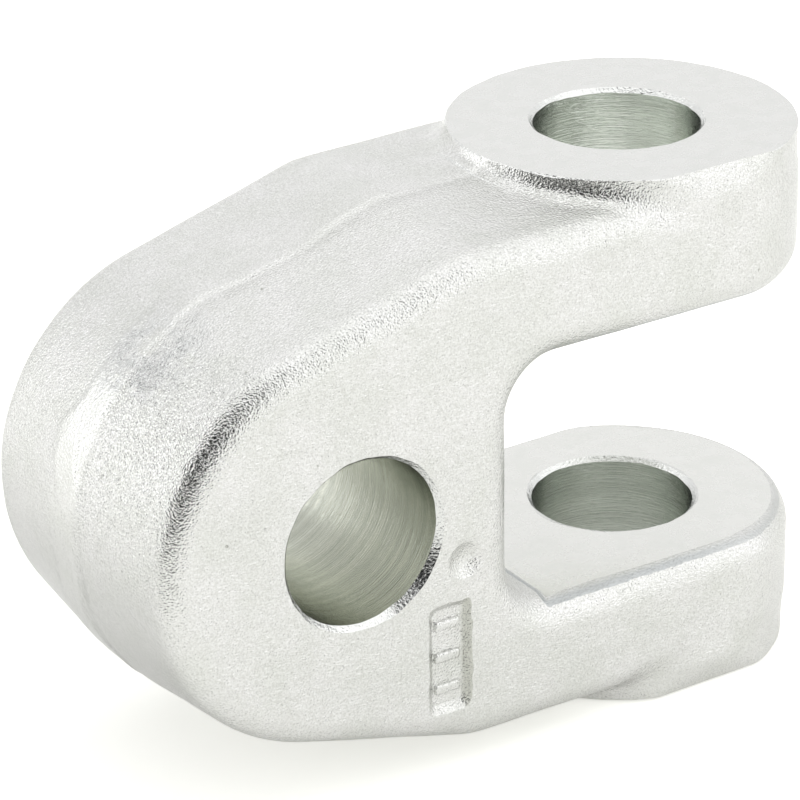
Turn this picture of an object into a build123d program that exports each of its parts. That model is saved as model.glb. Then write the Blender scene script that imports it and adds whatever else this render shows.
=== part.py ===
from build123d import *
import math
import os

os.makedirs("parts", exist_ok=True)

# A drop-forged, zinc-plated steel knuckle with a fork at one end and a cross bore at the other.
# The origin is on the clevis pin's axis, half way between the ears. +X points out of the fork's
# mouth, Y runs along the cross bore and +Z along the clevis pin. The dies part on the plane Y = 0.

# Driving dimensions, in millimetres

# Bores and faces that are machined
pin_bore_d = 33.0
pin_bore_chamfer = 0.9
cross_bore_d = 33.5
cross_bore_chamfer = 0.9
centre_distance = 81.5
fork_gap = 52.0
ear_thickness = 30.0

# Forged body, outline in the parting plane
body_width = 66.4
hub_radius = 43.9
hub_offset = -0.8
shoulder_x = -56.5
shoulder_height = 53.0
shoulder_round = 20.0
nose_height = 54.9
draft_angle = 5.0
trim_band_width = 12.0
rim_round = 6.0

# Forged ears
nose_offset = 1.5
nose_bulge = 1.6
nose_corner_round = 16.0
boss_rim_radius = 34.0
boss_draft_angle = 6.0
boss_wall_height = 4.5
boss_skirt_height = 8.0
boss_skirt_inset = 1.0

# Forged slot, milled to the fork's gap
slot_root_x = -46.8
slot_root_round = 10.5
slot_root_height = 51.4
slot_mouth_height = 49.8
slot_rim_round = 6.5
milling_run_out = 0.8

# Bare sunken marks on the front face
panel_x = -62.5
panel_z = -30.0
panel_width = 9.8
panel_height = 23.5
panel_depth = 1.5
panel_draft_angle = 45.0
panel_corner_round = 1.2
bar_count = 3
bar_width = 2.2
bar_height = 0.7
bar_draft_angle = 20.0
bar_end_gap = 0.5
dimple_x = -59.0
dimple_z = -10.0
dimple_d = 7.5
dimple_depth = 1.3

half_gap = fork_gap / 2
boss_face_z = half_gap + ear_thickness
half_width = body_width / 2
nose_radius = half_width + nose_bulge
half_band = trim_band_width / 2
# Clearance past a face, for cutters and for picking edges
beyond = 20.0
near = 1.0


def outer_outline():
    """Half of the forging's outline in the parting plane, from the hub's end to past the nose."""
    hub_centre = (hub_offset - centre_distance, 0)
    nose_x = nose_offset + nose_radius + beyond
    # The flank is the tangent from the shoulder to the hub's circle.
    run = shoulder_x - hub_centre[0]
    reach = math.hypot(run, shoulder_height)
    tangent_angle = math.atan2(shoulder_height, run) + math.acos(hub_radius / reach)
    tangent_point = (
        hub_centre[0] + hub_radius * math.cos(tangent_angle),
        hub_radius * math.sin(tangent_angle),
    )
    half = Polyline(
        (hub_centre[0], 0),
        tangent_point,
        (shoulder_x, shoulder_height),
        (nose_x, nose_height),
        (nose_x, 0),
        close=True,
    )
    flank = make_face(half)
    shoulder = flank.vertices().sort_by_distance((shoulder_x, shoulder_height, 0))[0]
    flank = fillet(shoulder, shoulder_round)
    upper = flank + Pos(*hub_centre) * Circle(hub_radius)
    return upper + mirror(upper, about=Plane.XZ)


def drafted(sketch, depth):
    """A sketch of the XZ plane forged both ways from the parting plane: a straight band, then draft."""
    band = extrude(Plane.XZ * sketch, half_band, both=True)
    die_plane = Plane.XZ.offset(half_band)
    front = extrude(die_plane * sketch, depth - half_band)
    walls = front.faces() - front.faces().filter_by(Plane.XZ)
    front = draft(walls, die_plane, draft_angle)
    return band + front + mirror(front, about=Plane.XZ)


def plan_outline():
    """The forging seen from above: straight sides, and a nose that is rounder than the width."""
    strip_length = centre_distance - hub_offset + hub_radius + beyond + nose_offset
    strip = Pos(nose_offset - strip_length, 0) * Rectangle(
        strip_length + nose_radius + beyond, body_width, align=(Align.MIN, Align.CENTER)
    )
    nose = Pos(nose_offset, 0) * Circle(nose_radius)
    back = Pos(nose_offset - strip_length, 0) * Rectangle(
        strip_length, body_width, align=(Align.MIN, Align.CENTER)
    )
    plan = (strip & nose) + back
    corners = plan.vertices().filter_by_position(Axis.X, nose_offset + near, nose_offset + nose_radius)
    return fillet(corners, nose_corner_round)


def raw_slot():
    """The slot as forged: a rounded root, and walls that close a little towards the mouth."""
    mouth_x = nose_offset + nose_radius + near
    walls = Polyline(
        (slot_root_x, -slot_root_height / 2),
        (slot_root_x, slot_root_height / 2),
        (mouth_x, slot_mouth_height / 2),
        (mouth_x, -slot_mouth_height / 2),
        close=True,
    )
    section = make_face(walls)
    root = section.vertices().filter_by_position(Axis.X, slot_root_x - near, slot_root_x + near)
    section = fillet(root, slot_root_round)
    return extrude(Plane.XZ * section, half_width + beyond, both=True)


def forged_body():
    body = drafted(outer_outline(), half_width + near)
    body = body & extrude(plan_outline(), nose_height + beyond, both=True)
    return body - raw_slot()


def rim_edges(body):
    """The edges round the flat sides and the nose, without the seams between those faces."""
    sides = body.faces().filter_by(Plane.XZ)
    noses = body.faces().filter_by(GeomType.CYLINDER).filter_by(
        lambda face: face.axis_of_rotation.is_parallel(Axis.Z)
    )
    seen = {}
    for face in sides + noses:
        for edge in face.edges():
            key = tuple(round(v, 3) for v in (*edge.center(), edge.length))
            seen.setdefault(key, []).append(edge)
    return ShapeList(found[0] for found in seen.values() if len(found) == 1)


def rounded_forging():
    """The forging with its rims rounded: one loop outside and one round the slot."""
    body = forged_body()
    # The slot's rim lies nearer the middle than half way up an ear, and so does the arc round the hub.
    half_way = half_gap + ear_thickness / 2
    hub = (hub_offset - centre_distance, 0, 0)
    outer = rim_edges(body).filter_by(
        lambda edge: abs(edge.center().Z) > half_way or edge.center().X < hub[0]
    )
    body = fillet(outer, rim_round)
    slot = rim_edges(body).filter_by(
        lambda edge: abs(edge.center().Z) < half_way and edge.center().X > hub[0]
    )
    return fillet(slot, slot_rim_round)


def boss():
    """The raised boss on the upper ear: a drafted wall, with a skirt that runs back into the ear's sides."""
    wall_foot = boss_rim_radius + boss_wall_height * math.tan(math.radians(boss_draft_angle))
    skirt_radius = half_width - boss_skirt_inset
    skirt_z = boss_face_z - boss_wall_height - boss_skirt_height
    rim = (boss_rim_radius, boss_face_z)
    foot = (wall_foot, boss_face_z - boss_wall_height)
    skirt = (skirt_radius, skirt_z)
    section = Polyline(rim, foot, skirt, (0, skirt_z), (0, boss_face_z), close=True)
    turned = revolve(Plane.XZ * make_face(section), axis=Axis.Z)
    return Pos(nose_offset, 0, 0) * turned


def milled_slot():
    """What the milling cutter takes between the ears, as far back as the root's radius."""
    mouth_x = nose_offset + nose_radius + near
    run_out_x = slot_root_x + slot_root_round + milling_run_out
    return Pos((run_out_x + mouth_x) / 2, 0, 0) * Box(mouth_x - run_out_x, body_width + 2 * beyond, fork_gap)


def bore(diameter, chamfer_size, length):
    """A drilled hole along Z with a chamfer at both ends, as the solid that is cut away."""
    radius = diameter / 2
    outer = radius + chamfer_size
    top = length / 2
    half = Polyline(
        (0, 0),
        (radius, 0),
        (radius, top - chamfer_size),
        (outer, top),
        (outer, top + beyond),
        (0, top + beyond),
        close=True,
    )
    turned = revolve(Plane.XZ * make_face(half), axis=Axis.Z)
    return turned + mirror(turned, about=Plane.XY)


def pin_bores():
    """The clevis pin's bore, chamfered on all four faces of the two ears."""
    ear_z = half_gap + ear_thickness / 2
    ear_bore = bore(pin_bore_d, pin_bore_chamfer, ear_thickness)
    keep_clear = Cylinder(pin_bore_d, ear_thickness + fork_gap)
    upper = Pos(0, 0, ear_z) * (ear_bore & keep_clear)
    return upper + mirror(upper, about=Plane.XY)


def panel():
    """The bare sunken panel on the front face, with steep drafted walls and plain raised bars."""
    shrink = 2 * panel_depth * math.tan(math.radians(panel_draft_angle))
    face = Plane((panel_x, -half_width, panel_z), x_dir=(1, 0, 0), z_dir=(0, -1, 0))
    floor_plane = face.offset(-panel_depth)
    rim = face * RectangleRounded(panel_width, panel_height, panel_corner_round)
    floor_width = panel_width - shrink
    floor_height = panel_height - shrink
    floor = floor_plane * RectangleRounded(floor_width, floor_height, panel_corner_round / 2)
    recess = loft([floor.face(), rim.face()])
    pitch = floor_height / bar_count
    bar_length = floor_width - 2 * bar_end_gap
    bars = [
        floor_plane * Pos(0, (index - (bar_count - 1) / 2) * pitch) * Rectangle(bar_length, bar_width)
        for index in range(bar_count)
    ]
    raised = [extrude(bar, bar_height, taper=bar_draft_angle) for bar in bars]
    return recess - raised


def dimple():
    """A plain round dimple beside the cross bore."""
    radius = dimple_d / 2
    ball_radius = (radius**2 + dimple_depth**2) / (2 * dimple_depth)
    return Pos(dimple_x, -half_width - ball_radius + dimple_depth, dimple_z) * Sphere(ball_radius)


def knuckle():
    """The finished knuckle: forged, then milled, faced, bored and marked."""
    upper_boss = boss()
    body = rounded_forging() + upper_boss + mirror(upper_boss, about=Plane.XY)
    body = body - milled_slot()
    body = body - pin_bores()
    cross = Rot(90, 0, 0) * bore(cross_bore_d, cross_bore_chamfer, body_width)
    body = body - Pos(-centre_distance, 0, 0) * cross
    body = body - panel()
    return body - dimple()


export_step(knuckle(), "parts/knuckle.step")
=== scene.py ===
import math

import bmesh
import bpy
from mathutils import Matrix, Quaternion, Vector, noise


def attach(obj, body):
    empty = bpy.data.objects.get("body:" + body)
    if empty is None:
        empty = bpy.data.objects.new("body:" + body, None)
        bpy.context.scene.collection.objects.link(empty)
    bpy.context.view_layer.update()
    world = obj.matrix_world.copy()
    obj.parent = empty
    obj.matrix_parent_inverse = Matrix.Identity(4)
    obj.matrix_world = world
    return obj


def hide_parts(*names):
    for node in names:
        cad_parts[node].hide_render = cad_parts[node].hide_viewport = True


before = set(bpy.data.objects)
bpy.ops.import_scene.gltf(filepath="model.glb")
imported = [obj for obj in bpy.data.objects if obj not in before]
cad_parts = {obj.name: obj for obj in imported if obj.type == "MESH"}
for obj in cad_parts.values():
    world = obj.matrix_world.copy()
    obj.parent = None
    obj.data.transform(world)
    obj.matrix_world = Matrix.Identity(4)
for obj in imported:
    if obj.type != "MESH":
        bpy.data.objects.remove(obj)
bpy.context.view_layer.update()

# A drop-forged clevis knuckle, shot blasted, machined and bright zinc plated. Everything is in
# metres, in the part's own frame: the origin on the clevis pin's axis half way between the ears,
# +X out of the fork's mouth, +Y along the cross bore and +Z along the clevis pin.

# Sizes that the part's source gives
PIN_BORE_RADIUS = 0.0165
CROSS_BORE_RADIUS = 0.01675
BORE_CHAMFER = 0.0009
CENTRE_DISTANCE = 0.0815
HALF_WIDTH = 0.0332
HALF_GAP = 0.026
BOSS_FACE_Z = 0.056
BOSS_FOOT_Z = 0.0515
PANEL_CENTRE = Vector((-0.0625, -HALF_WIDTH, -0.030))
PANEL_SIZE = (0.0098, 0.0235)
PANEL_DEPTH = 0.0015
BAR_COUNT = 3
BAR_SIZE = (0.0058, 0.0022, 0.0007)
BAR_PITCH = 0.00683
DIMPLE_CENTRE = Vector((-0.059, -HALF_WIDTH, -0.010))
DIMPLE_RADIUS = 0.00375
DIMPLE_DEPTH = 0.0013

# What the photo shows a little differently from the part. The bosses are wider at the rim and
# longer than wide, and their fronts are cut flat by the die's side, leaning in
BOSS_X = 0.0011
BOSS_STRETCH = Matrix.Diagonal((1.012, 1, 1, 1))
BOSS_RIM_RADIUS = 0.0343
BOSS_FOOT_RADIUS = 0.03444
BOSS_FLAT_Y = 0.0317
BOSS_FLAT_SLOPE = math.tan(math.radians(22))
BOSS_FLAT_Z = 0.0495
BOSS_FLAT_BACK_X = -0.036
# The mill ran further back, the panel's corners are rounder, and the countersink on the front
# of the hub was held a little off the bore
SLOT_RUN_OUT_X = -0.0376
PANEL_CORNER = 0.0020
FRONT_SINK_OFF = (0.0003, -0.00025)

# How the holes and marks of the part are filled to get its forging back: how far a plug reaches
# past its hole's rim, how far it stays inside the slot's face, and the fill behind the marks
PLUG_OVERLAP = 0.0002
PLUG_RECESS = 0.0003
FILL_MARGIN = 0.0005
FILL_DEPTH = 0.004
STOCK = 0.002

# The forging's skin: the grid it is made on, its smoothing, and the zone round the bosses' foot
# that is rolled. Behind the bosses that zone reaches higher
SKIN_GRID = 0.00085
SKIN_PASSES = 2
FOOT_PASSES = 24
FOOT_RADII = (0.0305, 0.0385)
FOOT_LOW_Z = 0.046
FOOT_TOP_Z = 0.0546
FOOT_TOP_RISE = 0.0014
FOOT_RISE_X = (0.014, 0.026)

# Its slow waves, which sink more than they rise
WAVE_LENGTH = 0.011
WAVE_HEIGHT = 0.00011
WAVE_SINK = 0.4

# The low land that the trimmed flash left, how it wanders and where the milled slot has none
FLASH_CENTRE_Y = 0.0015
FLASH_HALF_WIDTH = 0.0040
FLASH_WANDER = 0.0045
FLASH_BEND = 0.012
FLASH_PATH = 4
FLASH_EASE = 0.0008
FLASH_STEP = 0.00032
SLOT_BACK_X = -0.05
SLOT_MARGIN = 0.0015

# The torn patch at the hub's end
TORN_CENTRE = Vector((-0.1085, -0.004, 0.0340))
TORN_RADIUS = 0.0145
TORN_CORE = 0.4
TORN_HEIGHT = 0.00025
TORN_GRAIN = 0.0023
TORN_SINK = 0.5

# The cutters: how much deeper they go than the part's faces, how hand tools wander, and how far
# each one reaches past the part
SKIM = 0.00012
ROUND_STEPS = 128
ROLL = 0.0008
EDGE_BREAK = 0.0002
BAR_ROUND = 0.0006
HAND_WOBBLE = 0.0002
WOBBLE_LENGTH = 0.004
PANEL_WOBBLE_LENGTH = 0.003
PANEL_LONG_EDGE = 0.004
DIMPLE_FLOW = 0.0001
LID = 0.002
MILL_REACH = 0.05
FACING_TOP = 0.07
DRILL_REACH = 0.06
REAMER_REACH = 0.04

# Hand tools wander by chance, and by the same chance each run
WOBBLE_SEED = 33
noise.seed_set(WOBBLE_SEED)

# Sizes of the finish
GRIT = 0.00040
GRIT_HEIGHT = 0.00026
SPECK = 0.00034
PEEL = 0.0022
PEEL_HEIGHT = 0.00009
SCAB = 0.0007
SCAB_HEIGHT = 0.0006
TORN_RIM = 0.006
TORN_SKIN_CORE = 0.5
PIT_SPACING = 0.009
PIT_RADIUS = 0.00018
PIT_DEPTH = 0.0001
CLOUD = 0.012
LAND_BLEND = 0.0015
# How softly the painted shade on the panel's right wall fades in
WALL_SHADE_BLEND = 0.0004
# The band of painted shade along the slot's rims: its width, and the size of its ragged edge
RIM_SHADE_BAND = 0.0011
RIM_SHADE_RAGGED = 0.0015
FEED = 0.0005
FEED_HEIGHT = 0.000006
FACE_CLOUD = 0.004
CHATTER = 0.0006
CHATTER_HEIGHT = 0.00020

# The places of a MapRange's sockets and of a colour Mix's sockets, whose names stand there twice
VALUE, FROM_LOW, FROM_HIGH, TO_LOW, TO_HIGH = range(5)
MIX_SHARE, MIX_FROM, MIX_TO, MIXED = 0, 6, 7, 2


def linear(hex_colour):
    """An sRGB hex colour as the linear colour that a shader takes."""
    channels = [int(hex_colour[i : i + 2], 16) / 255 for i in (1, 3, 5)]
    return [c / 12.92 if c <= 0.04045 else ((c + 0.055) / 1.055) ** 2.4 for c in channels] + [1.0]


def set_sockets(tree, made, sockets):
    """Gives a node's inputs their values, each a constant or another node's output."""
    for name, value in sockets.items():
        if isinstance(value, bpy.types.NodeSocket):
            tree.links.new(value, made.inputs[name])
        else:
            made.inputs[name].default_value = value


def node(tree, kind, sockets=None, **settings):
    """Adds a shader node with its settings and its inputs."""
    made = tree.nodes.new("ShaderNode" + kind)
    for name, value in settings.items():
        setattr(made, name, value)
    set_sockets(tree, made, sockets or {})
    return made


def new_piece(name, bm, material=None):
    """Turns a bmesh into an object at the origin."""
    mesh = bpy.data.meshes.new(name)
    bm.to_mesh(mesh)
    bm.free()
    if material:
        mesh.materials.append(material)
    piece = bpy.data.objects.new(name, mesh)
    bpy.context.scene.collection.objects.link(piece)
    return piece


def along_y(x, y=0.0, z=0.0):
    """Turns what stands along Z to lie along Y, and moves it to a place."""
    return Matrix.Translation((x, y, z)) @ Matrix.Rotation(math.radians(90), 4, "X")


def settle(piece):
    """Keeps what a piece's modifiers make of it as its own mesh."""
    graph = bpy.context.evaluated_depsgraph_get()
    made = bpy.data.meshes.new_from_object(piece.evaluated_get(graph))
    piece.modifiers.clear()
    old = piece.data
    piece.data = made
    bpy.data.meshes.remove(old)


def ease(value, low, high):
    """0 below low, 1 above high, and smooth between them."""
    share = min(max((value - low) / (high - low), 0), 1)
    return share * share * (3 - 2 * share)


def smooth(bm, verts, passes):
    """Moves each vertex half way to the middle of its neighbours, pass after pass."""
    for _ in range(passes):
        bmesh.ops.smooth_vert(
            bm, verts=verts, factor=0.5, use_axis_x=True, use_axis_y=True, use_axis_z=True
        )


def forging_blank():
    """The forging before machining: the CAD solid with its bores and marks filled, and stock left
    on its bosses."""
    bm = bmesh.new()
    bm.from_mesh(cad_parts["knuckle"].data)
    bmesh.ops.remove_doubles(bm, verts=bm.verts, dist=1e-6)

    def plug(radius_low, radius_high, length, place):
        bmesh.ops.create_cone(
            bm,
            cap_ends=True,
            segments=ROUND_STEPS,
            radius1=radius_low,
            radius2=radius_high,
            depth=length,
            matrix=place,
        )

    ear_plug = PIN_BORE_RADIUS + BORE_CHAMFER + PLUG_OVERLAP
    for side in (1, -1):
        low, high = HALF_GAP + PLUG_RECESS, BOSS_FACE_Z + STOCK
        plug(ear_plug, ear_plug, high - low, Matrix.Translation((0, 0, side * (low + high) / 2)))
        turn = Matrix.Rotation(0 if side > 0 else math.pi, 4, "X")
        middle = Matrix.Translation((BOSS_X, 0, side * (BOSS_FOOT_Z + high) / 2))
        plug(BOSS_FOOT_RADIUS, BOSS_RIM_RADIUS, high - BOSS_FOOT_Z, middle @ turn @ BOSS_STRETCH)
    cross_plug = CROSS_BORE_RADIUS + BORE_CHAMFER + PLUG_OVERLAP
    plug(cross_plug, cross_plug, 2 * HALF_WIDTH, along_y(-CENTRE_DISTANCE))
    dimple_plug = DIMPLE_RADIUS + FILL_MARGIN
    behind_dimple = along_y(DIMPLE_CENTRE.x, FILL_DEPTH / 2 - HALF_WIDTH, DIMPLE_CENTRE.z)
    plug(dimple_plug, dimple_plug, FILL_DEPTH, behind_dimple)
    place = Matrix.Translation(PANEL_CENTRE + Vector((0, FILL_DEPTH / 2, 0)))
    width, height = (side + 2 * FILL_MARGIN for side in PANEL_SIZE)
    size = Matrix.Diagonal((width, FILL_DEPTH, height, 1))
    bmesh.ops.create_cube(bm, size=1, matrix=place @ size)
    return new_piece("forged_knuckle", bm)


def in_foot_zone(co):
    """Whether a place lies where the bosses' walls run out into the ears."""
    reach = math.hypot(co.x - BOSS_X, co.y)
    top = FOOT_TOP_Z + FOOT_TOP_RISE * ease(-co.x, *FOOT_RISE_X)
    return FOOT_RADII[0] < reach < FOOT_RADII[1] and FOOT_LOW_Z < abs(co.z) < top


def forge_skin(blank):
    """Gives the blank one closed skin of even small faces, its bosses a flat front and a rolled
    foot, and the skin its slow waves, its flash land and its torn patch."""
    remesh = blank.modifiers.new("skin", "REMESH")
    remesh.mode = "VOXEL"
    remesh.voxel_size = SKIN_GRID
    settle(blank)
    bm = bmesh.new()
    bm.from_mesh(blank.data)
    for v in bm.verts:
        if abs(v.co.z) > BOSS_FLAT_Z and v.co.x > BOSS_FLAT_BACK_X:
            v.co.y = max(v.co.y, (abs(v.co.z) - BOSS_FACE_Z) * BOSS_FLAT_SLOPE - BOSS_FLAT_Y)
    smooth(bm, bm.verts, SKIN_PASSES)
    smooth(bm, [v for v in bm.verts if in_foot_zone(v.co)], FOOT_PASSES)
    bm.normal_update()
    for v in bm.verts:
        rise = WAVE_HEIGHT * (noise.noise(v.co / WAVE_LENGTH) - WAVE_SINK)
        # The land stands out, because the skin on both sides of it is sunk by a step
        path = noise.noise((v.co.x / FLASH_BEND, v.co.z / FLASH_BEND, FLASH_PATH))
        wander = FLASH_CENTRE_Y + FLASH_WANDER * path
        beside = ease(abs(v.co.y - wander), FLASH_HALF_WIDTH, FLASH_HALF_WIDTH + FLASH_EASE)
        in_slot = v.co.x > SLOT_BACK_X and abs(v.co.z) < HALF_GAP + SLOT_MARGIN
        if not in_slot:
            rise -= FLASH_STEP * beside * (1 - abs(v.normal.y)) ** 2
        torn = 1 - ease((v.co - TORN_CENTRE).length, TORN_CORE * TORN_RADIUS, TORN_RADIUS)
        if torn > 0:
            rise += TORN_HEIGHT * torn * (noise.noise(v.co / TORN_GRAIN) - TORN_SINK)
        v.co += v.normal * rise
    bm.to_mesh(blank.data)
    bm.free()


def turned(name, profile, place, material, wobble=0.0):
    """A cutter turned from a profile of (radius, height) points about Z, then put in place. wobble
    is how far a hand tool's path wanders."""
    bm = bmesh.new()
    points = [bm.verts.new((radius, 0, height)) for radius, height in profile]
    line = [bm.edges.new(pair) for pair in zip(points, points[1:])]
    bmesh.ops.spin(
        bm,
        geom=points + line,
        cent=(0, 0, 0),
        axis=(0, 0, 1),
        angle=math.tau,
        steps=ROUND_STEPS,
        use_merge=True,
    )
    bmesh.ops.remove_doubles(bm, verts=bm.verts, dist=1e-7)
    bmesh.ops.recalc_face_normals(bm, faces=bm.faces)
    bmesh.ops.transform(bm, matrix=place, verts=bm.verts)
    for v in bm.verts:
        v.co += wobble * noise.noise_vector(v.co / WOBBLE_LENGTH)
    return new_piece(name, bm, material)


def block(name, low, high, material):
    """A square cutter between two corners."""
    low, high = Vector(low), Vector(high)
    place = Matrix.Translation((low + high) / 2) @ Matrix.Diagonal((*(high - low), 1))
    bm = bmesh.new()
    bmesh.ops.create_cube(bm, size=1, matrix=place)
    return new_piece(name, bm, material)


def drill(name, radius, reach, place, finish):
    """A straight drill or reamer with flat ends, which reaches as far up as down."""
    return turned(name, [(0, -reach), (radius, -reach), (radius, reach), (0, reach)], place, finish)


def countersink(name, radius, place, finish):
    """A 90 degree countersink whose cone has this radius where it meets the face, at height 0."""
    past = 0.0015
    profile = [(0, -radius), (radius + past, past), (0, past)]
    return turned(name, profile, place, finish, HAND_WOBBLE)


def edge_breaker(name, radius, place, finish):
    """A 45 degree cutter that takes a round rim's sharp edge off. The face is at height 0."""
    past, reach = 0.0005, 0.003
    outer = radius + reach
    profile = [(radius - EDGE_BREAK - past, past), (outer, -(EDGE_BREAK + reach)), (outer, past)]
    return turned(name, profile + profile[:1], place, finish, HAND_WOBBLE)


def panel_die(name, finish):
    """The shape that sinks the panel: 45 degree walls with a rolled rim and foot."""
    reach = ROLL * math.tan(math.radians(22.5))
    steps = [math.radians(angle) for angle in (0, 15, 30, 45)]
    rim = [(ROLL * math.sin(a) - reach, ROLL * (1 - math.cos(a))) for a in steps]
    foot = [(PANEL_DEPTH - inward, PANEL_DEPTH - down) for inward, down in reversed(rim)]
    bm = bmesh.new()
    bmesh.ops.create_grid(bm, x_segments=1, y_segments=1, size=0.5)
    width, height = PANEL_SIZE[0] + 2 * reach, PANEL_SIZE[1] + 2 * reach
    bmesh.ops.scale(bm, vec=(width, height, 1), verts=bm.verts)
    bmesh.ops.bevel(
        bm,
        geom=bm.verts,
        offset=PANEL_CORNER,
        segments=6,
        profile=0.5,
        affect="VERTICES",
        material=-1,
    )
    bmesh.ops.translate(bm, vec=(0, 0, LID), verts=bm.verts)
    # The lid's face is extruded down through the rim and the foot, and narrows as it goes
    face = bm.faces[:][0]
    last = (width, height, LID)
    for inward, down in rim + foot:
        made = bmesh.ops.extrude_face_region(bm, geom=[face])
        if down:
            bmesh.ops.delete(bm, geom=[face], context="FACES_ONLY")
        face = [part for part in made["geom"] if isinstance(part, bmesh.types.BMFace)][0]
        now = (PANEL_SIZE[0] - 2 * inward, PANEL_SIZE[1] - 2 * inward, -down)
        bmesh.ops.scale(bm, vec=(now[0] / last[0], now[1] / last[1], 1), verts=face.verts)
        bmesh.ops.translate(bm, vec=(0, 0, now[2] - last[2]), verts=face.verts)
        last = now
    bmesh.ops.recalc_face_normals(bm, faces=bm.faces)
    long_edges = [e for e in bm.edges if e.calc_length() > PANEL_LONG_EDGE]
    bmesh.ops.subdivide_edges(bm, edges=long_edges, cuts=9, use_grid_fill=True)
    bmesh.ops.transform(bm, matrix=along_y(*PANEL_CENTRE), verts=bm.verts)
    for v in bm.verts:
        v.co += HAND_WOBBLE * noise.noise_vector(v.co / PANEL_WOBBLE_LENGTH)
    return new_piece(name, bm, finish)


def bar(name, index, finish):
    """A plain raised bar on the panel's floor, with rounded edges. Its lower half is sunk."""
    length, width, height = BAR_SIZE
    along = (index - (BAR_COUNT - 1) / 2) * BAR_PITCH
    bm = bmesh.new()
    bmesh.ops.create_cube(bm, size=1, matrix=Matrix.Diagonal((length, width, 2 * height, 1)))
    bmesh.ops.bevel(
        bm,
        geom=bm.edges,
        offset=BAR_ROUND,
        segments=4,
        profile=0.5,
        affect="EDGES",
        material=-1,
    )
    floor_y = PANEL_CENTRE.y + PANEL_DEPTH
    place = along_y(PANEL_CENTRE.x, floor_y, PANEL_CENTRE.z + along)
    bmesh.ops.transform(bm, matrix=place, verts=bm.verts)
    return new_piece(name, bm, finish)


def dimple_die(name, finish):
    """The shape that sinks the dimple, which flows out into the face round it."""
    steps, softness = 16, 1.15
    reach = DIMPLE_RADIUS + DIMPLE_FLOW
    shares = [index / steps for index in range(steps + 1)]
    bowl = [(reach * s, -DIMPLE_DEPTH * (1 - s * s) ** softness) for s in shares]
    return turned(name, bowl + [(reach, LID), (0, LID)], along_y(*DIMPLE_CENTRE), finish)


def cut(piece, tool, operation="DIFFERENCE"):
    """Takes a cutter's shape off a piece, or adds it. The new faces get the cutter's material."""
    change = piece.modifiers.new(tool.name, "BOOLEAN")
    change.operation = operation
    change.solver = "MANIFOLD"
    change.material_mode = "TRANSFER"
    change.object = tool


def metal(name):
    """A new material for plated steel: its name and tree, its shader, and Object coordinates."""
    made = bpy.data.materials.new(name)
    made.use_nodes = True
    tree = made.node_tree
    shader = tree.nodes["Principled BSDF"]
    shader.inputs["Metallic"].default_value = 1
    return made, tree, shader, node(tree, "TexCoord").outputs["Object"]


def torn_share(tree, place):
    """How far a place lies in the torn patch: 1 in its middle, with a ragged rim."""
    away = node(tree, "VectorMath", {0: place, 1: TORN_CENTRE}, operation="DISTANCE")
    within = node(
        tree,
        "MapRange",
        {
            VALUE: away.outputs["Value"],
            FROM_LOW: TORN_SKIN_CORE * TORN_RADIUS,
            FROM_HIGH: TORN_RADIUS,
            TO_LOW: 1.0,
            TO_HIGH: 0.0,
        },
    )
    ragged = node(
        tree,
        "TexNoise",
        {"Vector": place, "Scale": 1 / TORN_RIM, "Detail": 3.0, "Roughness": 0.6},
    )
    ragged = node(
        tree, "MapRange", {VALUE: ragged.outputs["Fac"], FROM_LOW: 0.4, FROM_HIGH: 0.6}
    )
    return node(
        tree, "Math", {0: within.outputs[0], 1: ragged.outputs[0]}, operation="MULTIPLY"
    ).outputs[0]


def rim_shade_share(tree, place, axes):
    """How far a place lies in the band of painted shade along the slot's rims, which stands in for
    the shadow of the burr that the milling cutter threw up. The band has a sharp ragged edge, and
    is paler towards the fork's mouth."""
    above = node(tree, "Math", {0: axes.outputs["Z"]}, operation="ABSOLUTE")
    above = node(tree, "Math", {0: above.outputs[0], 1: HALF_GAP + SKIM}, operation="SUBTRACT")
    above = node(tree, "Math", {0: above.outputs[0], 1: 0.0}, operation="MAXIMUM")
    behind = node(tree, "Math", {0: SLOT_RUN_OUT_X, 1: axes.outputs["X"]}, operation="SUBTRACT")
    behind = node(tree, "Math", {0: behind.outputs[0], 1: 0.0}, operation="MAXIMUM")
    to_rim = node(tree, "CombineXYZ", {0: behind.outputs[0], 2: above.outputs[0]})
    to_rim = node(tree, "VectorMath", {0: to_rim.outputs[0]}, operation="LENGTH")
    ragged = node(tree, "TexNoise", {"Vector": place, "Scale": 1 / RIM_SHADE_RAGGED, "Detail": 2.0})
    band = node(
        tree,
        "MapRange",
        {
            VALUE: ragged.outputs["Fac"],
            FROM_LOW: 0.3,
            FROM_HIGH: 0.7,
            TO_LOW: 0.9 * RIM_SHADE_BAND,
            TO_HIGH: 1.15 * RIM_SHADE_BAND,
        },
    )
    rise = node(
        tree,
        "MapRange",
        {
            VALUE: to_rim.outputs["Value"],
            FROM_LOW: 0.0,
            FROM_HIGH: 0.5 * RIM_SHADE_BAND,
            TO_LOW: 0.1,
            TO_HIGH: 1.0,
        },
    )
    past = node(
        tree, "Math", {0: to_rim.outputs["Value"], 1: band.outputs[0]}, operation="SUBTRACT"
    )
    fall = node(
        tree,
        "MapRange",
        {
            VALUE: past.outputs[0],
            FROM_LOW: 0.0,
            FROM_HIGH: 0.15 * RIM_SHADE_BAND,
            TO_LOW: 1.0,
            TO_HIGH: 0.0,
        },
    )
    rim_shade = node(tree, "Math", {0: rise.outputs[0], 1: fall.outputs[0]}, operation="MULTIPLY")
    paler = node(
        tree,
        "MapRange",
        {
            VALUE: axes.outputs["X"],
            FROM_LOW: -0.005,
            FROM_HIGH: 0.02,
            TO_LOW: 1.0,
            TO_HIGH: 0.5,
        },
    )
    return node(
        tree, "Math", {0: rim_shade.outputs[0], 1: paler.outputs[0]}, operation="MULTIPLY"
    ).outputs[0]


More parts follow.
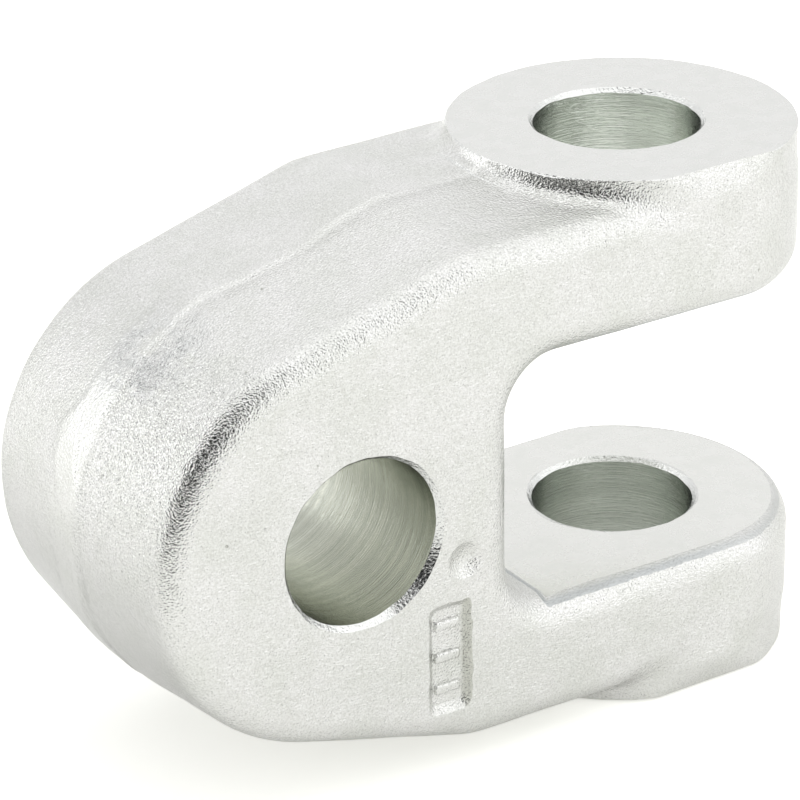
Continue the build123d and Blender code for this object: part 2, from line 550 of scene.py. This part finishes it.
def forged_finish(name, shade_right_wall=False):
    """Bright zinc plate on a drop forging that was blasted with steel shot. The plate follows every
    grain of the blasted skin, so that each grain mirrors its own spot of the room: a pale silver
    that breaks into black and white specks where the room turns dark. The grain is drawn at 0.4 mm,
    a little coarser than the real one, to show. Fine random specks of painted shade, which stand in
    for the shade between the grains, darken the colour a little. The second argument is for the
    sunk panel, whose right wall gets a darker colour as painted shade."""
    made, tree, shader, place = metal(name)
    grit = node(
        tree, "TexNoise", {"Vector": place, "Scale": 1 / GRIT, "Detail": 1.0, "Roughness": 0.55}
    )
    peel = node(
        tree, "TexNoise", {"Vector": place, "Scale": 1 / PEEL, "Detail": 1.0, "Roughness": 0.5}
    )
    cloud = node(
        tree, "TexNoise", {"Vector": place, "Scale": 1 / CLOUD, "Detail": 3.0, "Roughness": 0.6}
    )
    pits = node(tree, "TexVoronoi", {"Vector": place, "Scale": 1 / PIT_SPACING})
    pit = node(
        tree,
        "MapRange",
        {
            VALUE: pits.outputs["Distance"],
            FROM_LOW: PIT_RADIUS / PIT_SPACING,
            FROM_HIGH: 2 * PIT_RADIUS / PIT_SPACING,
            TO_LOW: 1.0,
            TO_HIGH: 0.0,
        },
    )

    # The trimmed land where the dies met is smoother, and the torn patch is coarser
    axes = node(tree, "SeparateXYZ", {0: place})
    across = node(
        tree, "Math", {0: axes.outputs["Y"], 1: FLASH_CENTRE_Y}, operation="SUBTRACT"
    )
    across = node(tree, "Math", {0: across.outputs[0]}, operation="ABSOLUTE")
    die_skin = node(
        tree,
        "MapRange",
        {
            VALUE: across.outputs[0],
            FROM_LOW: FLASH_HALF_WIDTH,
            FROM_HIGH: FLASH_HALF_WIDTH + LAND_BLEND,
            TO_LOW: 0.5,
            TO_HIGH: 1.0,
        },
    )
    torn = torn_share(tree, place)
    strength = node(tree, "Math", {0: die_skin.outputs[0], 1: torn}, operation="MAXIMUM")
    scab = node(
        tree, "TexNoise", {"Vector": place, "Scale": 1 / SCAB, "Detail": 2.0, "Roughness": 0.6}
    )
    scabs = node(
        tree, "Bump", {"Height": scab.outputs["Fac"], "Distance": SCAB_HEIGHT, "Strength": torn}
    )
    slow = node(
        tree,
        "Bump",
        {
            "Height": peel.outputs["Fac"],
            "Distance": PEEL_HEIGHT,
            "Strength": 1.0,
            "Normal": scabs.outputs[0],
        },
    )
    fine = node(
        tree,
        "Bump",
        {
            "Height": grit.outputs["Fac"],
            "Distance": GRIT_HEIGHT,
            "Strength": strength.outputs[0],
            "Normal": slow.outputs[0],
        },
    )
    pitted = node(
        tree,
        "Bump",
        {
            "Height": pit.outputs[0],
            "Distance": PIT_DEPTH,
            "Strength": 1.0,
            "Normal": fine.outputs[0],
        },
        invert=True,
    )

    # Painted shade: the colour is darkened a little in fine random specks, which stand in for the
    # shade down between the grains, and on the panel's right wall deep in the recess. The plate is
    # also a little duller in slow clouds, in the torn patch and in the pits
    # Fine specks of painted shade between the grains
    speck = node(tree, "TexNoise", {"Vector": place, "Scale": 1 / SPECK, "Detail": 0.0})
    speck = node(
        tree, "MapRange", {VALUE: speck.outputs["Fac"], FROM_LOW: 0.25, FROM_HIGH: 0.75}
    )
    grain_shade = node(
        tree,
        "Mix",
        {MIX_SHARE: speck.outputs[0], MIX_FROM: linear("#ECECEA"), MIX_TO: linear("#FFFFFF")},
        data_type="RGBA",
    )
    clouds = node(
        tree, "MapRange", {VALUE: cloud.outputs["Fac"], FROM_LOW: 0.35, FROM_HIGH: 0.65}
    )
    pale = node(
        tree,
        "Mix",
        {MIX_SHARE: clouds.outputs[0], MIX_FROM: linear("#E3E4E1"), MIX_TO: linear("#EAEAE9")},
        data_type="RGBA",
    )
    colour = node(
        tree,
        "Mix",
        {MIX_SHARE: 1.0, MIX_FROM: pale.outputs[MIXED], MIX_TO: grain_shade.outputs[MIXED]},
        data_type="RGBA",
        blend_type="MULTIPLY",
    )
    dull_and_shade = [(torn, "#DCDDDC"), (pit.outputs[0], "#C4C5BE")]
    # The panel's right wall lies deep in the recess and gets a darker colour as painted shade
    if shade_right_wall:
        foot = PANEL_CENTRE.x + PANEL_SIZE[0] / 2 - PANEL_DEPTH
        wall = node(
            tree,
            "MapRange",
            {VALUE: axes.outputs["X"], FROM_LOW: foot - WALL_SHADE_BLEND, FROM_HIGH: foot + WALL_SHADE_BLEND},
        )
        dull_and_shade.append((wall.outputs[0], "#C6C7C0"))
    # Painted shade: a dark grey band along the slot's rims, which stands in for the shadow of the
    # burr that the milling cutter threw up there
    dull_and_shade.append((rim_shade_share(tree, place, axes), "#B9BCBC"))
    for share, tone in dull_and_shade:
        colour = node(
            tree,
            "Mix",
            {MIX_SHARE: share, MIX_FROM: colour.outputs[MIXED], MIX_TO: linear(tone)},
            data_type="RGBA",
        )
    rough = node(
        tree,
        "MapRange",
        {VALUE: cloud.outputs["Fac"], FROM_LOW: 0.3, FROM_HIGH: 0.7, TO_LOW: 0.17, TO_HIGH: 0.22},
    )
    set_sockets(
        tree,
        shader,
        {
            "Base Color": colour.outputs[MIXED],
            "Roughness": rough.outputs[0],
            "Normal": pitted.outputs[0],
        },
    )
    return made


def faced_finish(name, centre, pale, dark):
    """Bright zinc plate on a face that a cutter has swept in arcs about a centre: a smooth satin
    with faint arcs at the feed, drawn at 0.5 mm, and slow clouds where the plate took less
    evenly."""
    made, tree, shader, place = metal(name)
    spread = node(
        tree,
        "Mapping",
        {"Vector": place, "Location": (-centre[0], -centre[1], 0), "Scale": (1, 1, 0)},
    )
    radius = node(tree, "VectorMath", {0: spread.outputs[0]}, operation="LENGTH")
    arcs = node(
        tree,
        "TexNoise",
        {"W": radius.outputs["Value"], "Scale": 1 / FEED, "Detail": 2.0},
        noise_dimensions="1D",
    )
    cloud = node(
        tree,
        "TexNoise",
        {"Vector": place, "Scale": 1 / FACE_CLOUD, "Detail": 3.0, "Roughness": 0.6},
    )
    marks = node(
        tree, "Bump", {"Height": arcs.outputs["Fac"], "Distance": FEED_HEIGHT, "Strength": 1.0}
    )
    clouds = node(
        tree, "MapRange", {VALUE: cloud.outputs["Fac"], FROM_LOW: 0.3, FROM_HIGH: 0.7}
    )
    colour = node(
        tree,
        "Mix",
        {MIX_SHARE: clouds.outputs[0], MIX_FROM: linear(dark), MIX_TO: linear(pale)},
        data_type="RGBA",
    )
    rough = node(
        tree,
        "MapRange",
        {VALUE: cloud.outputs["Fac"], FROM_LOW: 0.3, FROM_HIGH: 0.7, TO_LOW: 0.24, TO_HIGH: 0.30},
    )
    set_sockets(
        tree,
        shader,
        {
            "Base Color": colour.outputs[MIXED],
            "Roughness": rough.outputs[0],
            "Normal": marks.outputs[0],
        },
    )
    return made


def bored_finish(name, stretch, mark, depth, pale, dark):
    """Thin zinc plate down a bore, over the tool's rings: greener and duller than outside. The
    green is the thin plate; the duller colour is partly the thin plate and partly painted shade for
    the bore's depth, where each ray meets the metal several times. stretch is 1 along the bore and
    small across it. Slow smears are six rings wide."""
    made, tree, shader, place = metal(name)
    along = node(tree, "Mapping", {"Vector": place, "Scale": stretch})
    rings = node(
        tree,
        "TexNoise",
        {"Vector": along.outputs[0], "Scale": 1 / mark, "Detail": 3.0, "Roughness": 0.65},
    )
    smears = node(
        tree, "TexNoise", {"Vector": along.outputs[0], "Scale": 1 / (6 * mark), "Detail": 2.0}
    )
    bump = node(
        tree, "Bump", {"Height": rings.outputs["Fac"], "Distance": depth, "Strength": 1.0}
    )
    smeared = node(
        tree, "MapRange", {VALUE: smears.outputs["Fac"], FROM_LOW: 0.35, FROM_HIGH: 0.65}
    )
    colour = node(
        tree,
        "Mix",
        {MIX_SHARE: smeared.outputs[0], MIX_FROM: linear(dark), MIX_TO: linear(pale)},
        data_type="RGBA",
    )
    rough = node(
        tree,
        "MapRange",
        {VALUE: rings.outputs["Fac"], FROM_LOW: 0.3, FROM_HIGH: 0.7, TO_LOW: 0.13, TO_HIGH: 0.26},
    )
    set_sockets(
        tree,
        shader,
        {
            "Base Color": colour.outputs[MIXED],
            "Roughness": rough.outputs[0],
            "Normal": bump.outputs[0],
        },
    )
    return made


def countersunk_finish():
    """Bright zinc plate on hand-cut countersinks and broken edges: a narrow mirror with chatter
    across it."""
    made, tree, shader, place = metal("zinc_plate_on_countersunk_edges")
    chatter = node(
        tree, "TexNoise", {"Vector": place, "Scale": 1 / CHATTER, "Detail": 2.0, "Roughness": 0.6}
    )
    bump = node(
        tree,
        "Bump",
        {"Height": chatter.outputs["Fac"], "Distance": CHATTER_HEIGHT, "Strength": 1.0},
    )
    rough = node(
        tree,
        "MapRange",
        {
            VALUE: chatter.outputs["Fac"],
            FROM_LOW: 0.3,
            FROM_HIGH: 0.7,
            TO_LOW: 0.15,
            TO_HIGH: 0.28,
        },
    )
    set_sockets(
        tree,
        shader,
        {
            "Base Color": linear("#E3E4E2"),
            "Roughness": rough.outputs[0],
            "Normal": bump.outputs[0],
        },
    )
    return made


forged = forged_finish("zinc_plate_on_shot_blasted_forging")
# The sunk panel's plate, with painted shade on its right wall
sunk = forged_finish("zinc_plate_in_forged_panel_with_painted_shade", shade_right_wall=True)
spot_faced = faced_finish(
    "zinc_plate_on_spot_faced_bosses", centre=(0, 0), pale="#E7E7E5", dark="#E1E2DF"
)
milled = faced_finish(
    "zinc_plate_on_milled_slot", centre=(-0.09, 0), pale="#EAEAE7", dark="#E4E5E1"
)
drilled = bored_finish(
    "zinc_plate_in_drilled_ears",
    stretch=(0.05, 0.05, 1),
    mark=0.0004,
    depth=0.00013,
    pale="#E7EBE5",
    dark="#DDE1DB",
)
# The reamed hub's darker colours hold painted shade for its depth as well as its thin plate
reamed = bored_finish(
    "zinc_plate_in_reamed_hub",
    stretch=(0.03, 1, 0.03),
    mark=0.0003,
    depth=0.00008,
    pale="#D2D4CA",
    dark="#C5C8BE",
)
countersunk = countersunk_finish()

knuckle = forging_blank()
forge_skin(knuckle)
knuckle.data.materials.clear()
knuckle.data.materials.append(forged)

# The cutters' own faces are at height 0, so each one is put where its face of the knuckle lies
turned_over = Matrix.Rotation(math.pi, 4, "X")
upper_face = Matrix.Translation((0, 0, BOSS_FACE_Z - SKIM))
upper_slot = Matrix.Translation((0, 0, HALF_GAP + SKIM)) @ turned_over
to_boss = Matrix.Translation((BOSS_X, 0, 0)) @ BOSS_STRETCH
front_hub = along_y(FRONT_SINK_OFF[0] - CENTRE_DISTANCE, -HALF_WIDTH, FRONT_SINK_OFF[1])
back_hub = along_y(-CENTRE_DISTANCE, HALF_WIDTH) @ turned_over
pin_rim = PIN_BORE_RADIUS + BORE_CHAMFER
cross_rim = CROSS_BORE_RADIUS + BORE_CHAMFER
tools = [
    panel_die("panel_die", sunk),
    dimple_die("dimple_die", forged),
    block(
        "slot_mill",
        (SLOT_RUN_OUT_X, -MILL_REACH, -HALF_GAP - SKIM),
        (MILL_REACH, MILL_REACH, HALF_GAP + SKIM),
        milled,
    ),
    block(
        "upper_facing",
        (-MILL_REACH, -MILL_REACH, BOSS_FACE_Z - SKIM),
        (MILL_REACH, MILL_REACH, FACING_TOP),
        spot_faced,
    ),
    block(
        "lower_facing",
        (-MILL_REACH, -MILL_REACH, -FACING_TOP),
        (MILL_REACH, MILL_REACH, SKIM - BOSS_FACE_Z),
        spot_faced,
    ),
    edge_breaker("upper_rim_break", BOSS_RIM_RADIUS, to_boss @ upper_face, countersunk),
    edge_breaker(
        "lower_rim_break", BOSS_RIM_RADIUS, to_boss @ turned_over @ upper_face, countersunk
    ),
    drill("pin_drill", PIN_BORE_RADIUS, DRILL_REACH, Matrix.Identity(4), drilled),
    countersink("upper_ear_outer_sink", pin_rim, upper_face, countersunk),
    countersink("upper_ear_inner_sink", pin_rim, upper_slot, countersunk),
    countersink("lower_ear_outer_sink", pin_rim, turned_over @ upper_face, countersunk),
    countersink("lower_ear_inner_sink", pin_rim, turned_over @ upper_slot, countersunk),
    drill("cross_reamer", CROSS_BORE_RADIUS, REAMER_REACH, along_y(-CENTRE_DISTANCE), reamed),
    countersink("front_hub_sink", cross_rim, front_hub, countersunk),
    countersink("back_hub_sink", cross_rim, back_hub, countersunk),
]
for tool in tools:
    cut(knuckle, tool)
bars = [bar(f"panel_bar_{index}", index, forged) for index in range(BAR_COUNT)]
for piece in bars:
    cut(knuckle, piece, "UNION")
settle(knuckle)
for tool in tools + bars:
    bpy.data.objects.remove(tool)
for polygon in knuckle.data.polygons:
    polygon.use_smooth = True
knuckle.data.set_sharp_from_angle(angle=math.radians(30))
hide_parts("knuckle")
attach(knuckle, "root")

# The camera, at the photograph's viewing angle: its angles, its lens in millimetres, and its place
# from the pin's axis, to its own right, up and back
AZIMUTH, ELEVATION, TILT = math.radians(-33.08), math.radians(25.01), math.radians(-0.81)
SENSOR, LENS = 36, 163.6
CAMERA_PLACE = Vector((-0.04314, -0.00467, 0.73534))


def toward(longitude, latitude):
    """A direction from the knuckle: longitude 0 is the front, -Y, and 90 the right, +X."""
    across = math.cos(latitude)
    return Vector(
        (math.sin(longitude) * across, -math.cos(longitude) * across, math.sin(latitude))
    )


turn = toward(AZIMUTH, ELEVATION).to_track_quat("Z", "Y") @ Quaternion((0, 0, 1), TILT)
camera = bpy.data.objects.new("camera", bpy.data.cameras.new("camera"))
camera.data.sensor_width = SENSOR
camera.data.lens = LENS
camera.rotation_mode = "QUATERNION"
camera.rotation_quaternion = turn
camera.location = turn @ CAMERA_PLACE
bpy.context.scene.collection.objects.link(camera)
bpy.context.scene.camera = camera


def seen_rays(tree):
    """The camera's own rays, and all that the eye sees: the camera's rays, and those that go on by
    a mirror or through something clear."""
    rays = node(tree, "LightPath").outputs
    straight = rays["Is Camera Ray"]
    seen = node(tree, "Math", {0: straight, 1: rays["Is Glossy Ray"]}, operation="MAXIMUM")
    seen = node(
        tree, "Math", {0: seen.outputs[0], 1: rays["Is Transmission Ray"]}, operation="MAXIMUM"
    )
    return straight, seen.outputs[0]


def tent_card(name, longitude, latitude, wide, high, strength):
    """A flat oval of the light tent, so many degrees wide and high as the knuckle sees it. It is a
    lamp behind the cloth, a grey part of the cloth, or the dark opening that the camera looks in
    through. The opening shows in the metal and leaves the paper's light as it is."""
    reach = 1.6
    made = bpy.data.materials.new(name)
    made.use_nodes = True
    tree = made.node_tree
    tree.nodes.clear()
    glow = node(tree, "Emission", {"Color": (1, 1, 1, 1), "Strength": strength})
    node(tree, "OutputMaterial", {"Surface": glow.outputs[0]})
    direction = toward(math.radians(longitude), math.radians(latitude))
    size = [2 * reach * math.tan(math.radians(angle / 2)) for angle in (wide, high)]
    turn = direction.to_track_quat("Z", "Y").to_matrix().to_4x4()
    place = Matrix.Translation(direction * reach) @ turn
    bm = bmesh.new()
    bmesh.ops.create_circle(
        bm, cap_ends=True, segments=64, radius=0.5, matrix=place @ Matrix.Diagonal((*size, 1, 1))
    )
    sheet = new_piece(name, bm, made)
    sheet.visible_camera = False
    sheet.visible_diffuse = strength > 0.5
    sheet.visible_shadow = False


# Longitude, latitude, width and height in degrees, and strength
tent_card("dark_opening", -60, 29, 84, 76, 0.02)
tent_card("right_softbox", 38, 28, 76, 50, 1.45)
tent_card("left_softbox", -129, 19, 36, 46, 1.72)
tent_card("grey_cloth", -166, 12, 40, 80, 0.87)
tent_card("back_softbox", 168, 3, 40, 32, 1.25)
tent_card("top_softbox", 0, 89, 80, 80, 1.32)

# The tent's white cloth: full white to the eye and in the metal, and less as a lamp
world = bpy.data.worlds.new("light_tent")
world.use_nodes = True
sky = world.node_tree
_, seen = seen_rays(sky)
fill = node(sky, "Background", {"Color": (1, 1, 1, 1), "Strength": 0.62})
cloth = node(sky, "Background", {"Color": (1, 1, 1, 1), "Strength": 1.0})
mixed = node(sky, "MixShader", {0: seen, 1: fill.outputs[0], 2: cloth.outputs[0]})
sky.links.new(mixed.outputs[0], sky.nodes["World Output"].inputs["Surface"])
bpy.context.scene.world = world

# A sheet of white paper under the knuckle, lit from behind for the eye and in the metal. Its glow
# carries a painted shadow: it glows least under the hub, and more further out. The offset and the
# stretch put the painted shadow's oval there
FLOOR_RADIUS = 4
FLOOR_CLEAR = 0.0005
PAINTED_SHADOW_OFFSET, PAINTED_SHADOW_STRETCH = (0.078, -0.06, 0), (0.6, 1, 0)
PAINTED_SHADOW_RADII = (0.03, 0.15)
GLOW_IN_PAINTED_SHADOW, GLOW_OPEN, GLOW_STRAIGHT = 0.05, 0.22, 0.35

bm = bmesh.new()
bmesh.ops.create_circle(
    bm,
    cap_ends=True,
    segments=96,
    radius=FLOOR_RADIUS,
    matrix=Matrix.Translation((0, 0, -BOSS_FACE_Z - FLOOR_CLEAR)),
)
paper = bpy.data.materials.new("white_paper")
paper.use_nodes = True
tree = paper.node_tree
straight, seen = seen_rays(tree)
place = node(tree, "TexCoord").outputs["Object"]
spread = node(tree, "Mapping", {"Vector": place, "Location": PAINTED_SHADOW_OFFSET, "Scale": PAINTED_SHADOW_STRETCH})
away = node(tree, "VectorMath", {0: spread.outputs[0]}, operation="LENGTH")
# Painted shadow: the paper's glow is low under the hub and full further out
painted_shadow_glow = node(
    tree,
    "MapRange",
    {
        VALUE: away.outputs["Value"],
        FROM_LOW: PAINTED_SHADOW_RADII[0],
        FROM_HIGH: PAINTED_SHADOW_RADII[1],
        TO_LOW: GLOW_IN_PAINTED_SHADOW,
        TO_HIGH: GLOW_OPEN,
    },
    interpolation_type="SMOOTHSTEP",
)
glow = node(tree, "Math", {0: seen, 1: painted_shadow_glow.outputs[0]}, operation="MULTIPLY")
glow = node(
    tree, "Math", {0: straight, 1: GLOW_STRAIGHT, 2: glow.outputs[0]}, operation="MULTIPLY_ADD"
)
set_sockets(
    tree,
    tree.nodes["Principled BSDF"],
    {
        "Base Color": linear("#F2F2F0"),
        "Roughness": 0.9,
        "Specular IOR Level": 0.1,
        "Emission Color": linear("#FFFFF9"),
        "Emission Strength": glow.outputs[0],
    },
)
new_piece("floor", bm, paper)

bpy.context.scene.view_settings.view_transform = "Standard"
